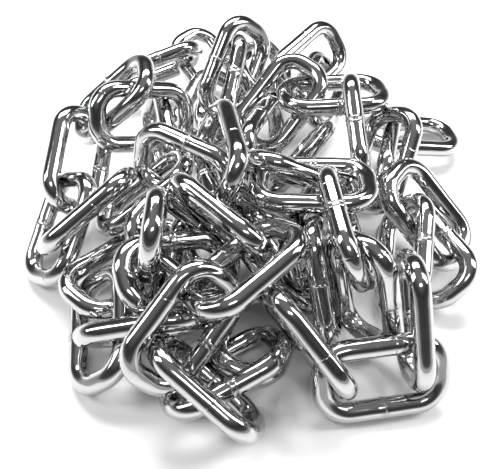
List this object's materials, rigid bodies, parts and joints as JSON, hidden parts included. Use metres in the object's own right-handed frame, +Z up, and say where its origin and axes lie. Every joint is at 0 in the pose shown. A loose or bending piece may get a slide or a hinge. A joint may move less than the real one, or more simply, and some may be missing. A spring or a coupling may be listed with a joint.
{
  "type": "heap of steel chain",
  "caption": "Loose heap of welded steel chain: bright round-bar links lying over and hooked through one another on the floor.",
  "frame": {"origin": "middle of the heap's footprint, on the floor it lies on", "axes": "+Z up; -Y towards the side the picture was taken from; +X to the right as seen from there"},
  "size_m": [0.2588, 0.3012, 0.0899],
  "materials": {
    "bright_steel": "bright plated steel, smooth and mirror-like, slightly dull at the weld collars"
  },
  "bodies": {
    "root": {"link_back_1": "bright_steel", "link_back_10": "bright_steel", "link_back_2": "bright_steel", "link_back_3": "bright_steel", "link_back_4": "bright_steel", "link_back_5": "bright_steel", "link_back_6": "bright_steel", "link_back_7": "bright_steel", "link_back_8": "bright_steel", "link_back_9": "bright_steel", "link_front_1": "bright_steel", "link_front_2": "bright_steel", "link_front_3": "bright_steel", "link_front_4": "bright_steel", "link_front_5": "bright_steel", "link_front_6": "bright_steel", "link_front_7": "bright_steel", "link_inside_1": "bright_steel", "link_inside_2": "bright_steel", "link_inside_3": "bright_steel", "link_inside_4": "bright_steel", "link_inside_5": "bright_steel", "link_inside_6": "bright_steel", "link_inside_7": "bright_steel", "link_inside_8": "bright_steel", "link_left_1": "bright_steel", "link_left_10": "bright_steel", "link_left_11": "bright_steel", "link_left_12": "bright_steel", "link_left_2": "bright_steel", "link_left_3": "bright_steel", "link_left_4": "bright_steel", "link_left_5": "bright_steel", "link_left_6": "bright_steel", "link_left_7": "bright_steel", "link_left_8": "bright_steel", "link_left_9": "bright_steel", "link_right_1": "bright_steel", "link_right_2": "bright_steel", "link_right_3": "bright_steel", "link_right_4": "bright_steel", "link_right_5": "bright_steel", "link_right_6": "bright_steel", "link_right_7": "bright_steel", "link_right_8": "bright_steel", "link_right_9": "bright_steel", "link_top_1": "bright_steel", "link_top_2": "bright_steel", "link_top_3": "bright_steel", "link_top_4": "bright_steel", "link_top_5": "bright_steel", "link_top_6": "bright_steel", "link_top_7": "bright_steel"}
  },
  "joints": []
}
